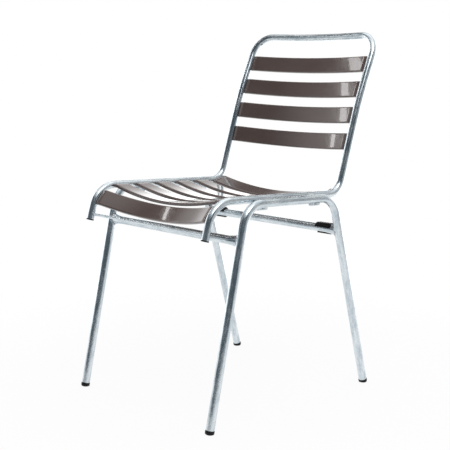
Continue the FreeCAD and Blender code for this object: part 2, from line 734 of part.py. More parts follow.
rod_height = nose_end + nose_direction * size("rod_rise")
rod = add_cylinder("nose_tie_rod_blank", "rod_radius", "seat_frame_width",
                   Placement(rod_height - to_seat_side, across_chair))
nose_tie_rod = cut("nose_tie_rod", rod, tube_outside)
nodes.append(nose_tie_rod)
rod_welds = []
for word, sign in (("left", -1), ("right", 1)):
    blob = doc.addObject("Part::Sphere", "rod_weld_%s_blob" % word)
    bind(blob, Radius="rod_weld_radius")
    blob.Placement.Base = rod_height + ALONG_X * sign * size("tube_side")
    blob_round_rod = cut("rod_weld_%s_bored" % word, blob, rod)
    rod_welds.append(cut("rod_weld_" + word, blob_round_rod, tube_outside))
nodes.append(group("tie_rod_welds", rod_welds))


# Slats: moulded channels with turned-down edges that dip in the middle like a sling


def tube_station(distance):
    """Point and direction of the right half of the tube, so far along it from its open end."""
    for edge in tube_edges:
        if distance <= edge.Length:
            where = edge.getParameterByLength(distance)
            return edge.valueAt(where), edge.tangentAt(where)
        distance -= edge.Length
    raise ValueError("the station lies past the end of the tube")


def slat_frame(distance, sink=0):
    """Placement of a slat: X across the chair, Y along the tube, Z towards the sitter."""
    point, direction = tube_station(distance)
    turn = Rotation(ALONG_X, math.degrees(math.atan2(direction.z, direction.y)))
    return Placement(Vector(0, point.y, point.z) - turn.multVec(ALONG_Z) * sink, turn)


def make_slat(label, kind, frame):
    """One slat in its place, with a solid block under each end and a tapped hole in each block."""
    body = new_body(label)
    path = new_sketch(body, "path", "XZ_Plane")
    places = [
        ("-slat_half", None),
        ("-slat_run", None),
        (None, "-%s_point" % kind),
        ("slat_run", None),
        ("slat_half", None),
    ]
    radii = {1: "slat_end_bend_radius", 2: kind + "_radius", 3: "slat_end_bend_radius"}
    draw_chain(path, places, radii, closed=False)
    section = new_sketch(body, "section", "YZ_Plane", offset="-slat_half")
    section_places = [
        ("-slat_side", "-slat_lip"),
        ("-slat_side", None),
        ("slat_side", None),
        ("slat_side", "-slat_lip"),
        ("slat_inner_side", "-slat_lip"),
        ("slat_inner_side", "-slat_thickness"),
        ("-slat_inner_side", "-slat_thickness"),
        ("-slat_inner_side", "-slat_lip"),
    ]
    rounded = {1: "slat_edge_radius", 2: "slat_edge_radius", 5: "slat_inner_radius", 6: "slat_inner_radius"}
    draw_chain(section, section_places, rounded, closed=True)
    add_pipe(body, section, path)
    blocks = new_sketch(body, "blocks", "XY_Plane", offset="-slat_block_depth")
    holes = new_sketch(body, "holes", "XY_Plane", offset="-slat_block_depth")
    for sign in ("-", ""):
        block_places = [
            (sign + "slat_half", "-slat_inner_side"),
            (sign + "slat_half", "slat_inner_side"),
            (sign + "slat_block_end", "slat_inner_side"),
            (sign + "slat_block_end", "-slat_inner_side"),
        ]
        draw_chain(blocks, block_places, {}, closed=True)
        draw_circles(holes, "screw_radius", centre=(sign + "screw_place", None))
    add_pad(body, blocks, "slat_block_rise")
    add_pocket(body, holes, "screw_depth")
    body.Placement = frame
    return body


seat_frames = [slat_frame(nose_bend_end - size("nose_slat_drop"), size("nose_slat_sink"))]
for index in range(SEAT_SLATS - 1):
    distance = nose_bend_end + size("seat_slat_setback") + index * size("slat_pitch")
    seat_frames.append(slat_frame(distance, -size("seat_slat_rise")))
highest_slat = top_bend_start - size("back_slat_drop")
back_frames = []
for index in reversed(range(BACK_SLATS)):
    back_frames.append(slat_frame(highest_slat - index * size("slat_pitch")))
for index, frame in enumerate(seat_frames, 1):
    nodes.append(make_slat("seat_slat_%d" % index, "nose_slat" if index == 1 else "seat_slat", frame))
for index, frame in enumerate(back_frames, 1):
    nodes.append(make_slat("back_slat_%d" % index, "back_slat_%d" % index, frame))

# Slat lugs: small steel tongues welded under the tube's inner side, one for each end of a slat

slat_lug = new_body("slat_lug_blank")
lug_outline = new_sketch(slat_lug, "outline", "XY_Plane", offset="-lug_underside")
lug_places = [
    ("lug_welded_end", "-lug_side"),
    ("lug_welded_end", "lug_side"),
    ("lug_free_end", "lug_side"),
    ("lug_free_end", "-lug_side"),
]
draw_chain(lug_outline, lug_places, {2: "lug_corner_radius", 3: "lug_corner_radius"}, closed=True)
draw_circles(lug_outline, "screw_hole_radius", centre=("screw_place", None))
add_pad(slat_lug, lug_outline, "lug_thickness")

# Slat screws: round-headed, driven up through the lug into the end block

slat_screw = new_body("slat_screw_blank")
screw_outline = new_sketch(slat_screw, "outline", "XZ_Plane")
screw_places = [
    (None, "-screw_bottom"),
    ("screw_head_radius", "-screw_bottom"),
    ("screw_head_radius", "-lug_underside"),
    ("screw_radius", "-lug_underside"),
    ("screw_radius", "-screw_top"),
    (None, "-screw_top"),
]
draw_chain(screw_outline, screw_places, {1: "screw_head_rounding"}, closed=True)
add_turned(slat_screw, screw_outline)

turned_round = Placement(Vector(), Rotation(ALONG_Z, 180))
screw_offset = Placement(Vector(size("screw_place"), 0, 0), Rotation())
for row, frames in (("seat", seat_frames), ("back", back_frames)):
    lugs = []
    screws = []
    for index, frame in enumerate(frames, 1):
        for word, turn in (("right", Placement()), ("left", turned_round)):
            ending = "%s_slat_%d_%s" % (row, index, word)
            lugs.append(place_copy("lug_" + ending, slat_lug, frame * turn))
            screws.append(place_copy("screw_" + ending, slat_screw, frame * turn * screw_offset))
    nodes.append(cut(row + "_slat_lugs", group(row + "_slat_lug_blanks", lugs), tube_outside))
    nodes.append(group(row + "_slat_screws", screws))


# Spacer plates: small plates on edge that fill the gap between a leg frame and the seat rail

leg_rail_direction = (leg_rear_corner - leg_front_corner).normalize()
along_rail = Rotation(Vector(0, 1, 0), leg_rail_direction)
plate_bottom = size("leg_radius") + size("plate_drop")

spacer_plate = new_body("spacer_plate_blank")
plate_outline = new_sketch(spacer_plate, "outline", "YZ_Plane")
plate_places = [
    ("-plate_half", None),
    ("plate_half", None),
    ("plate_half", "plate_height"),
    ("-plate_half", "plate_height"),
]
draw_chain(plate_outline, plate_places, {0: "plate_corner_radius", 1: "plate_corner_radius"}, closed=True)
draw_circles(plate_outline, "plate_hole_radius", centre=(None, "plate_hole_height"))
add_pad(spacer_plate, plate_outline, "plate_thickness")

front_plate = leg_front_corner + leg_rail_direction * size("front_plate_setback")
rear_plate = leg_rear_corner - leg_rail_direction * size("rear_plate_setback")
for end, centre in (("front", front_plate), ("rear", rear_plate)):
    bottom = centre - along_rail.multVec(ALONG_Z) * plate_bottom
    for word, inner_face, leg_frame in (("left", -size("plate_outer"), left_leg_frame),
                                        ("right", size("plate_inner"), right_leg_frame)):
        name = "spacer_plate_%s_%s" % (end, word)
        blank = place_copy(name + "_blank", spacer_plate,
                           Placement(bottom + ALONG_X * inner_face, along_rail))
        nodes.append(cut(name, cut(name + "_at_seat_tube", blank, tube_outside), leg_frame))


# Stacking clips: moulded open rings pushed onto the rear cross tube, each with a flat-topped pad

clip_pad = new_body("clip_pad")
pad_outline = new_sketch(clip_pad, "outline", "XZ_Plane")
pad_places = [
    ("clip_inner_end", None),
    ("clip_outer_end", None),
    ("clip_outer_end", "clip_pad_top"),
    ("clip_pad_slope_end", "clip_pad_top"),
    ("clip_inner_end", "clip_pad_shoulder"),
]
draw_chain(pad_outline, pad_places, {}, closed=True)
pad_body = add_pad(clip_pad, pad_outline, "clip_pad_width", both_ways=True)


def is_long_top_edge(box):
    """An edge that lies wholly above the sloped end and runs along the tube."""
    return box.ZMin > size("clip_pad_shoulder") and box.YLength < size("clip_pad_rounding") and (
        box.XLength > size("clip_pad_chamfer"))


add_fillet(clip_pad, pad_body, is_long_top_edge, "clip_pad_rounding")
clip_axis = Vector(0, size("rear_cross_place"), size("rear_cross_height"))
clip_pad.Placement.Base = clip_axis
ring_start = clip_axis + ALONG_X * size("clip_inner_end")
ring_turn = across_chair * Rotation(ALONG_Z, -90 - size("clip_front_edge") - size("clip_wrap"))
clip_ring = add_cylinder("clip_ring", "clip_radius", "clip_length", Placement(ring_start, ring_turn))
bind(clip_ring, Angle="clip_wrap")
clip_bore = add_cylinder("clip_bore", "cross_radius", "clip_length", Placement(ring_start, across_chair))
right_clip = cut("stacking_clip_right", fuse("clip_solid", [clip_pad, clip_ring]), clip_bore)
left_clip = doc.addObject("Part::Mirroring", "stacking_clip_left")
left_clip.Label = "stacking_clip_left"
left_clip.Source = right_clip
left_clip.Base = Vector()
left_clip.Normal = ALONG_X
nodes += [right_clip, left_clip]


# Check every piece, then write one file for each

doc.recompute()
for item in doc.Objects:
    if "Invalid" in item.State or "Error" in item.State:
        raise RuntimeError("%s could not be made: %s" % (item.Label, item.State))
os.makedirs("parts", exist_ok=True)
for node in nodes:
    shape = node.Shape
    if shape.isNull() or not shape.isValid() or not shape.Solids:
        raise RuntimeError("%s has no valid solid" % node.Label)
for node in nodes:
    node.Shape.exportStep("parts/%s.step" % node.Label)
    print("%-24s %2d solids %10.1f mm3" % (node.Label, len(node.Shape.Solids), node.Shape.Volume))

whole = FreeCAD.BoundBox()
for node in nodes:
    whole.add(node.Shape.optimalBoundingBox(False))
print("width %.1f, depth %.1f, height %.1f" % (whole.XLength, whole.YLength, whole.ZLength))
print("middle of the depth at %.2f, lowest point at %.3f" % (whole.Center.y, whole.ZMin))
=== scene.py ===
"""A stacking bistro chair: a galvanised steel tube frame that carries dipped, glossy brown slats."""
import math

import bpy
import numpy as np
from mathutils import Matrix, Vector


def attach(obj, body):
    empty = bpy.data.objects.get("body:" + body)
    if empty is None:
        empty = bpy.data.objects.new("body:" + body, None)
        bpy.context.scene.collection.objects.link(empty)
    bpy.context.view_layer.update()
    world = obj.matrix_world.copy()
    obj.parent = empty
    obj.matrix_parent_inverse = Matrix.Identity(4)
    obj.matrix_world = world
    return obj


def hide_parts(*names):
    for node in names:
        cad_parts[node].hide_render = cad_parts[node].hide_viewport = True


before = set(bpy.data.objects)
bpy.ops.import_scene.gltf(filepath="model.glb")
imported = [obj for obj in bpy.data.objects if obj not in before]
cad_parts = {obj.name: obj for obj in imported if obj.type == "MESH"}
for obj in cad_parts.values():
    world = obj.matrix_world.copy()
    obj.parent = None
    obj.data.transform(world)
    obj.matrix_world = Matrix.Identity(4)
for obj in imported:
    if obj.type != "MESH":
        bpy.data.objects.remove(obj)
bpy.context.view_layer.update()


# Leg frames. Two arches of 18 mm steel tube, one at each side. Each is bent from one length and
# dipped in zinc, which leaves a bluish, mottled skin with small runs along the tube.

ALONG_Z = Vector((0, 0, 1))
LEG_RADIUS = 0.009
LEG_SIDE = 0.2092
FOOT_FRONT = Vector((0, -0.2729, 0))
FOOT_REAR = Vector((0, 0.2201, 0))
LEG_FRONT_CORNER = Vector((0, -0.1724, 0.4553))
LEG_REAR_CORNER = Vector((0, 0.0953, 0.4457))
LEG_BEND = 0.053
CAP_HEIGHT = 0.008
VENT_RADIUS = 0.0023
VENT_START = 0.0045
VENT_DEPTH = 0.012
SURVEY_STEP = 0.02


class Signal:
    """The output of a shader node, which can be used in plain arithmetic."""

    def __init__(self, board, socket):
        self.board = board
        self.socket = socket

    def math(self, operation, first, second):
        return self.board.add("Math", {"operation": operation}, {0: first, 1: second})

    def __add__(self, other):
        return self.math("ADD", self, other)

    __radd__ = __add__

    def __mul__(self, other):
        return self.math("MULTIPLY", self, other)

    __rmul__ = __mul__

    def __sub__(self, other):
        return self.math("SUBTRACT", self, other)

    def __rsub__(self, other):
        return self.math("SUBTRACT", other, self)

    def between(self, low, high):
        """0 at the low value, 1 at the high one, and smooth in between."""
        settings = {"interpolation_type": "SMOOTHSTEP"}
        return self.board.add("MapRange", settings, {"Value": self, "From Min": low, "From Max": high})


class Board:
    """The nodes of one material or of the studio's surroundings."""

    def __init__(self, tree):
        self.tree = tree

    def add(self, kind, settings, inputs, output=0):
        node = self.tree.nodes.new("ShaderNode" + kind)
        for key, value in settings.items():
            setattr(node, key, value)
        for key, value in inputs.items():
            if isinstance(value, Signal):
                self.tree.links.new(value.socket, node.inputs[key])
            else:
                node.inputs[key].default_value = value
        return Signal(self, node.outputs[output])

    def noise(self, where, scale, detail=2.0, roughness=0.5):
        return self.add("TexNoise", {}, {"Vector": where, "Scale": scale, "Detail": detail,
                                         "Roughness": roughness})

    def stretch(self, where, scale):
        return self.add("Mapping", {}, {"Vector": where, "Scale": scale})

    def blend(self, factor, first, second):
        """One colour turning into another."""
        colours = [(*colour, 1) if isinstance(colour, tuple) else colour for colour in (first, second)]
        return self.add("Mix", {"data_type": "RGBA"}, {0: factor, 6: colours[0], 7: colours[1]}, output=2)


def new_finish(name, **constants):
    """A material with its shader's plain values set: the material, its board and its shader."""
    material = bpy.data.materials.new(name)
    material.use_nodes = True
    shader = material.node_tree.nodes["Principled BSDF"]
    for socket, value in constants.items():
        shader.inputs[socket.replace("_", " ")].default_value = value
    return material, Board(material.node_tree), shader


def zinc_finish(name, follows_tube, tone=1.0):
    """Galvanised steel: mottled bluish zinc, with flecks drawn out along a tube."""
    material, board, shader = new_finish(name, Metallic=1.0)
    if follows_tube:
        place = board.add("Attribute", {"attribute_name": "straight"}, {}, output=1)
        drawn_out = board.stretch(place, (1, 1, 0.3))
    else:
        place = board.add("TexCoord", {}, {}, output=3)
        drawn_out = place
    flecks = board.noise(drawn_out, 520.0, detail=3.0, roughness=0.6).between(0.32, 0.68)
    runs = board.noise(board.stretch(place, (1, 1, 0.06)), 330.0, detail=2.0).between(0.42, 0.6)
    patches = board.noise(board.stretch(place, (1, 1, 0.4)), 60.0, detail=2.0).between(0.38, 0.62)
    bright = flecks * 0.35 + runs * 0.3 + patches * 0.35
    dark_zinc = tuple(channel * tone for channel in (0.44, 0.515, 0.565))
    pale_zinc = tuple(channel * tone for channel in (0.86, 0.92, 0.95))
    board.tree.links.new(board.blend(bright, dark_zinc, pale_zinc).socket, shader.inputs["Base Color"])
    rough = 0.16 + bright * 0.2
    board.tree.links.new(rough.socket, shader.inputs["Roughness"])
    height = flecks * 0.5 + runs * 0.5
    bump = board.add("Bump", {}, {"Height": height, "Strength": 0.16, "Distance": 0.0004})
    board.tree.links.new(bump.socket, shader.inputs["Normal"])
    return material


def set_finish(piece, material):
    """Gives the whole piece one material."""
    piece.data.materials.clear()
    piece.data.materials.append(material)


def turn_to(direction):
    """The rotation that stands +Z along a direction."""
    return ALONG_Z.rotation_difference(direction)


def bend_path(corners, bend_radii):
    """Straight runs and bends through the corners: ("run", vector) and ("bend", centre, axis, angle)."""
    steps = []
    run_start = corners[0]
    for index, radius in enumerate(bend_radii, 1):
        to_before = (corners[index - 1] - corners[index]).normalized()
        to_after = (corners[index + 1] - corners[index]).normalized()
        half_angle = to_before.angle(to_after) / 2
        start = corners[index] + to_before * (radius / math.tan(half_angle))
        end = corners[index] + to_after * (radius / math.tan(half_angle))
        centre = corners[index] + (to_before + to_after).normalized() * (radius / math.sin(half_angle))
        axis = (start - centre).cross(end - centre).normalized()
        steps.append(("run", start - run_start))
        steps.append(("bend", centre, axis, (start - centre).angle(end - centre)))
        run_start = end
    steps.append(("run", corners[-1] - run_start))
    return steps


def select_only(piece):
    bpy.ops.object.select_all(action="DESELECT")
    piece.select_set(True)
    bpy.context.view_layer.objects.active = piece


def facets(angle, radius):
    """How many short lengths a bend gets: each turns 4 degrees or is 12 mm long at most."""
    return max(2, math.ceil(math.degrees(angle) / 4), math.ceil(angle * radius / 0.012))


def draw_along(steps, start):
    """Pulls the selected outline along the straight runs and round the bends."""
    here = start.copy()
    for kind, *how in steps:
        if kind == "run":
            bpy.ops.mesh.extrude_region_move(TRANSFORM_OT_translate={"value": how[0]})
            here += how[0]
        else:
            centre, axis, angle = how
            count = facets(angle, (here - centre).length)
            bpy.ops.mesh.spin(steps=count, angle=-angle, center=centre, axis=axis)
            here = centre + Matrix.Rotation(angle, 3, axis) @ (here - centre)


def close_and_smooth(sharp_angle=40):
    """Merges what the bends doubled, closes the ends, turns the faces outwards and smooths them."""
    bpy.ops.mesh.select_all(action="SELECT")
    bpy.ops.mesh.remove_doubles(threshold=0.000001)
    bpy.ops.mesh.fill_holes(sides=0)
    bpy.ops.mesh.select_all(action="SELECT")
    bpy.ops.mesh.normals_make_consistent(inside=False)
    bpy.ops.object.mode_set(mode="OBJECT")
    bpy.ops.object.shade_smooth_by_angle(angle=math.radians(sharp_angle))


def unroll(piece, steps, start):
    """Stores where each point lay while the tube was still straight, for patterns that follow it."""
    direction = steps[0][1].normalized()
    across = turn_to(direction) @ Vector((1, 0, 0))
    centre = start.copy()
    rings = [(centre.copy(), direction.copy(), across.copy(), 0.0)]
    travelled = 0.0
    for kind, *how in steps:
        if kind == "run":
            pieces = max(1, math.ceil(how[0].length / SURVEY_STEP))
            for _ in range(pieces):
                centre += how[0] / pieces
                travelled += how[0].length / pieces
                rings.append((centre.copy(), direction.copy(), across.copy(), travelled))
            continue
        middle, axis, angle = how
        radius = (centre - middle).length
        count = facets(angle, radius)
        turn = Matrix.Rotation(angle / count, 3, axis)
        for _ in range(count):
            centre = middle + turn @ (centre - middle)
            direction = turn @ direction
            across = turn @ across
            travelled += radius * angle / count
            rings.append((centre.copy(), direction.copy(), across.copy(), travelled))
    points = np.empty(len(piece.data.vertices) * 3)
    piece.data.vertices.foreach_get("co", points)
    points = points.reshape(-1, 3)
    centres = np.array([ring[0] for ring in rings])
    nearest = np.argmin(((points[:, None] - centres[None]) ** 2).sum(2), axis=1)
    directions = np.array([ring[1] for ring in rings])[nearest]
    acrosses = np.array([ring[2] for ring in rings])[nearest]
    lengths = np.array([ring[3] for ring in rings])[nearest]
    offset = points - centres[nearest]
    sideways = np.cross(directions, acrosses)
    straight = np.stack([(offset * acrosses).sum(1), (offset * sideways).sum(1),
                         lengths + (offset * directions).sum(1)], axis=1)
    attribute = piece.data.attributes.new("straight", "FLOAT_VECTOR", "POINT")
    attribute.data.foreach_set("vector", straight.ravel().astype(np.float32))


def add_ring(name, radius, centre, direction, sides=44):
    """A ring that faces along the direction, left selected in edit mode."""
    bpy.ops.object.select_all(action="DESELECT")
    bpy.ops.mesh.primitive_circle_add(vertices=sides, radius=radius, location=centre,
                                      rotation=turn_to(direction).to_euler())
    ring = bpy.context.object
    ring.name = name
    bpy.ops.object.transform_apply(location=True, rotation=True, scale=False)
    bpy.ops.object.mode_set(mode="EDIT")
    bpy.ops.mesh.select_mode(type="EDGE")
    bpy.ops.mesh.select_all(action="SELECT")
    return ring


def drill(piece, centre, direction, radius, depth):
    """Drills a blind hole that starts at the centre."""
    bpy.ops.object.select_all(action="DESELECT")
    bpy.ops.mesh.primitive_cylinder_add(vertices=20, radius=radius, depth=depth,
                                        location=centre + direction * (depth / 2),
                                        rotation=turn_to(direction).to_euler())
    bit = bpy.context.object
    hole = piece.modifiers.new("hole", "BOOLEAN")
    hole.object = bit
    hole.operation = "DIFFERENCE"
    select_only(piece)
    bpy.ops.object.modifier_apply(modifier=hole.name)
    bpy.data.objects.remove(bit)


def bend_tube(name, radius, corners, bend_radii, vented_corners):
    """A round tube through the corners, with a vent hole on the inner side of some of its bends."""
    steps = bend_path(corners, bend_radii)
    tube = add_ring(name, radius, corners[0], steps[0][1])
    draw_along(steps, corners[0])
    close_and_smooth()
    for index in vented_corners:
        inward = (steps[2 * index - 1][1] - corners[index]).normalized()
        bend_middle = steps[2 * index - 1][1] - inward * bend_radii[index - 1]
        drill(tube, bend_middle + inward * VENT_START, inward, VENT_RADIUS, VENT_DEPTH)
    unroll(tube, steps, corners[0])
    return tube


tube_zinc = zinc_finish("mottled_tube_zinc", follows_tube=True)
up_front_leg = (LEG_FRONT_CORNER - FOOT_FRONT).normalized()
up_rear_leg = (LEG_REAR_CORNER - FOOT_REAR).normalized()
leg_corners = [FOOT_FRONT + up_front_leg * CAP_HEIGHT, LEG_FRONT_CORNER, LEG_REAR_CORNER,
               FOOT_REAR + up_rear_leg * CAP_HEIGHT]
for word, side in (("left", -1), ("right", 1)):
    to_side = Vector((LEG_SIDE * side, 0, 0))
    leg_frame = bend_tube(word + "_leg_arch", LEG_RADIUS, [corner + to_side for corner in leg_corners],
                          [LEG_BEND, LEG_BEND], vented_corners=[2])
    set_finish(leg_frame, tube_zinc)
    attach(leg_frame, "root")
    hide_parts(word + "_leg_frame")


# Cross tubes. Two 18 mm tubes tie the arches. Their ends are pressed to a tall oval, shaped to the
# leg and welded all round, and the whole is dipped in zinc afterwards.

CROSS_RADIUS = 0.009
PRESSED_LENGTH = 0.028
PRESSED_HEIGHT = 0.025
PRESSED_DEPTH = 0.0125
PRESS_STEPS = 8
END_IN_LEG = 0.002
FRONT_CROSS = Vector((0, -0.18873, 0.3813))
REAR_CROSS = Vector((0, 0.11622, 0.371))


def pull_ring(by, growth_y, growth_z, centre):
    """Extrudes the ring along X and changes its depth and height about the tube's axis."""
    bpy.ops.mesh.extrude_region_move(TRANSFORM_OT_translate={"value": (by, 0, 0)})
    bpy.ops.transform.resize(value=(1, growth_y, growth_z), center_override=centre)


for end, centre in (("front", FRONT_CROSS), ("rear", REAR_CROSS)):
    half_length = LEG_SIDE - END_IN_LEG
    start = centre - Vector((half_length, 0, 0))
    cross = add_ring(end + "_cross_bar", 0.5, start, Vector((1, 0, 0)))
    bpy.ops.transform.resize(value=(1, PRESSED_DEPTH, PRESSED_HEIGHT), center_override=start)
    pressed_run = PRESSED_LENGTH + LEG_RADIUS - END_IN_LEG
    height, depth = PRESSED_HEIGHT, PRESSED_DEPTH
    shapes = []
    for step in range(1, PRESS_STEPS + 1):
        share = step / PRESS_STEPS
        ease = share * share * (3 - 2 * share)
        shapes.append((PRESSED_HEIGHT + (2 * CROSS_RADIUS - PRESSED_HEIGHT) * ease,
                       PRESSED_DEPTH + (2 * CROSS_RADIUS - PRESSED_DEPTH) * ease))
    for new_height, new_depth in shapes:
        pull_ring(pressed_run / PRESS_STEPS, new_depth / depth, new_height / height, centre)
        height, depth = new_height, new_depth
    pull_ring(2 * (half_length - pressed_run), 1, 1, centre)
    for new_height, new_depth in shapes[-2::-1] + [(PRESSED_HEIGHT, PRESSED_DEPTH)]:
        pull_ring(pressed_run / PRESS_STEPS, new_depth / depth, new_height / height, centre)
        height, depth = new_height, new_depth
    close_and_smooth()
    unroll(cross, [("run", Vector((2 * half_length, 0, 0)))], start)
    set_finish(cross, tube_zinc)
    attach(cross, "root")
    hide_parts(end + "_cross_tube")


# Cross tube welds. A bead of weld runs round each pressed end where it meets the leg. It is laid by
# hand, so it is a little uneven, and the zinc has rounded it.

BEAD_RADIUS = 0.0022
BLANK_RING = 0.5
BLANK_THICK = 0.1


def leg_line(centre):
    """A point and the direction of the leg that a cross tube meets."""
    if centre.y < 0:
        return LEG_FRONT_CORNER, up_front_leg
    return LEG_REAR_CORNER, up_rear_leg


def weld_finish():
    """Weld bead under zinc: rough ripples, paler where the zinc is thick."""
    material, board, shader = new_finish("zinc_over_weld", Metallic=1.0)
    place = board.add("TexCoord", {}, {}, output=3)
    grains = board.noise(place, 900.0, detail=2.0).between(0.35, 0.65)
    lumps = board.noise(place, 260.0, detail=1.0).between(0.3, 0.7)
    board.tree.links.new(board.blend(grains * 0.5 + lumps * 0.5, (0.30, 0.33, 0.36),
                                     (0.66, 0.69, 0.72)).socket, shader.inputs["Base Color"])
    board.tree.links.new((0.30 + grains * 0.2).socket, shader.inputs["Roughness"])
    bump = board.add("Bump", {}, {"Height": grains * 0.4 + lumps, "Strength": 0.6, "Distance": 0.0008})
    board.tree.links.new(bump.socket, shader.inputs["Normal"])
    return material


def join_pieces(name, parts):
    """Joins like parts into one piece."""
    bpy.ops.object.select_all(action="DESELECT")
    for part in parts:
        part.select_set(True)
    bpy.context.view_layer.objects.active = parts[0]
    if len(parts) > 1:
        bpy.ops.object.join()
    whole = bpy.context.object
    whole.name = name
    return whole


weld_zinc = weld_finish()
beads = []
for centre in (FRONT_CROSS, REAR_CROSS):
    point, direction = leg_line(centre)
    for side in (-1, 1):
        bpy.ops.object.select_all(action="DESELECT")
        bpy.ops.mesh.primitive_torus_add(location=centre, rotation=(0, math.pi / 2, 0), major_segments=72,
                                         minor_segments=12, major_radius=BLANK_RING,
                                         minor_radius=BLANK_THICK)
        bead = bpy.context.object
        bpy.ops.object.transform_apply(location=True, rotation=True, scale=False)
        for vertex in bead.data.vertices:
            from_centre = vertex.co - centre
            around = math.atan2(from_centre.z, from_centre.y)
            out = math.hypot(from_centre.y, from_centre.z) - BLANK_RING
            uneven = 1 + 0.10 * math.sin(around * 17 + side) + 0.06 * math.sin(around * 9 + 2)
            thick = BEAD_RADIUS / BLANK_THICK * uneven
            spread_y = PRESSED_DEPTH / 2 + out * thick
            spread_z = PRESSED_HEIGHT / 2 + out * thick
            place = centre + Vector((0, spread_y * math.cos(around), spread_z * math.sin(around)))
            off_leg = min(((place - point) - direction * (place - point).dot(direction)).length, LEG_RADIUS)
            surface = LEG_SIDE - math.sqrt(LEG_RADIUS ** 2 - off_leg ** 2)
            surface = max(surface, LEG_SIDE - LEG_RADIUS)
            vertex.co = Vector((side * (surface - from_centre.x * side * thick), place.y, place.z))
        beads.append(bead)
cross_beads = join_pieces("cross_bar_beads", beads)
bpy.ops.object.mode_set(mode="EDIT")
bpy.ops.mesh.select_all(action="SELECT")
bpy.ops.mesh.normals_make_consistent(inside=False)
bpy.ops.object.mode_set(mode="OBJECT")
bpy.ops.object.shade_smooth_by_angle(angle=math.radians(60))
set_finish(cross_beads, weld_zinc)
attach(cross_beads, "root")
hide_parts("cross_tube_welds")


# Seat and back tube. One 16 mm tube runs from the left nose over the seat, up the back, across the
# top in a shallow bow, and down again to the right nose. It is dipped in zinc like the legs.

SEAT_TUBE_RADIUS = 0.008
SEAT_SIDE = 0.1882
NOSE_END = Vector((SEAT_SIDE, -0.26643, 0.3903))
NOSE_CORNER = Vector((SEAT_SIDE, -0.24434, 0.46438))
BACK_CORNER = Vector((SEAT_SIDE, 0.13667, 0.44915))
BACK_KNEE = Vector((SEAT_SIDE, 0.20133, 0.6530))
TOP_CORNER = Vector((SEAT_SIDE, 0.26525, 0.8000))
TOP_MIDDLE = Vector((0, 0.27809, 0.79442))
NOSE_BEND = 0.061
BACK_BEND = 0.040
KNEE_BEND = 0.928
TOP_BEND = 0.050
TOP_BOW = 1.600


def other_side(point):
    return Vector((-point.x, point.y, point.z))


half_corners = [NOSE_END, NOSE_CORNER, BACK_CORNER, BACK_KNEE, TOP_CORNER]
seat_corners = half_corners + [TOP_MIDDLE] + [other_side(corner) for corner in reversed(half_corners)]
half_bends = [NOSE_BEND, BACK_BEND, KNEE_BEND, TOP_BEND]
seat_tube = bend_tube("seat_and_back_hoop", SEAT_TUBE_RADIUS, seat_corners,
                      half_bends + [TOP_BOW] + half_bends[::-1], vented_corners=[4, 6])
set_finish(seat_tube, tube_zinc)
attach(seat_tube, "root")
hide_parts("seat_back_tube")


# Tie rod. A 6 mm steel rod between the two noses keeps them apart. Each end has a small round
# fillet of weld against the seat tube.

ROD_RADIUS = 0.003
ROD_PLACE = Vector((0, -0.26314, 0.40132))
ROD_REACH = 0.182
ROD_SWELL = [(-0.182, 0.9), (-0.172, 1.0), (-0.06, 1.03), (0.0, 1.05), (0.07, 1.02), (0.172, 1.0),
             (0.182, 0.9)]
FILLET_LENGTH = 0.006
FILLET_RADIUS = 0.005
FILLET_STEPS = 8
FILLET_BITE = 0.002
FILLET_THIN = 0.97 * ROD_RADIUS


def turn_part(name, profile, start, direction, sides=32, sharp_angle=40):
    """A turned part: the profile gives (distance along the direction, radius) from end to end."""
    along, radius = profile[0]
    part = add_ring(name, radius, start + direction * along, direction, sides)
    for next_along, next_radius in profile[1:]:
        bpy.ops.mesh.extrude_region_move(TRANSFORM_OT_translate={"value": direction * (next_along - along)})
        growth = next_radius / radius
        bpy.ops.transform.resize(value=(growth, growth, growth),
                                 center_override=start + direction * next_along)
        along, radius = next_along, next_radius
    close_and_smooth(sharp_angle)
    return part


along_x = Vector((1, 0, 0))
rod = turn_part("tie_bar", [(x, ROD_RADIUS * share) for x, share in ROD_SWELL], ROD_PLACE, along_x)
unroll(rod, [("run", Vector((2 * ROD_REACH, 0, 0)))], ROD_PLACE - Vector((ROD_REACH, 0, 0)))
set_finish(rod, tube_zinc)
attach(rod, "root")
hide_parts("nose_tie_rod")
fillets = []
for side in (-1, 1):
    wide_end = side * (SEAT_SIDE - SEAT_TUBE_RADIUS + FILLET_BITE)
    fillet_profile = []
    for step in range(FILLET_STEPS + 1):
        share = step / FILLET_STEPS
        rise = (1 - math.cos(share * math.pi / 2)) * (FILLET_RADIUS - FILLET_THIN)
        fillet_profile.append((wide_end - side * FILLET_LENGTH * (1 - share), FILLET_THIN + rise))
    fillets.append(turn_part("fillet", fillet_profile, ROD_PLACE, along_x))
rod_fillets = join_pieces("tie_bar_beads", fillets)
set_finish(rod_fillets, weld_zinc)
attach(rod_fillets, "root")
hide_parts("tie_rod_welds")


# Spacer plates. Four small upright plates of 5 mm steel fill the gap between the leg arch and the
# seat tube and are welded to both. Each has a hole near its lower edge to hang the frame for dipping.

PLATE_INNER = 0.1958
PLATE_OUTER = 0.2006
PLATE_LENGTH = 0.032
PLATE_HEIGHT = 0.021
PLATE_DROP = 0.0158
PLATE_FROM_FRONT = 0.055
PLATE_FROM_REAR = 0.049
PLATE_HOLE_UP = 0.005
PLATE_HOLE_RADIUS = 0.00225
PLATE_DRILL_BACK = 0.006
PLATE_CORNER = 0.003
PLATE_SOFT_EDGE = 0.0004


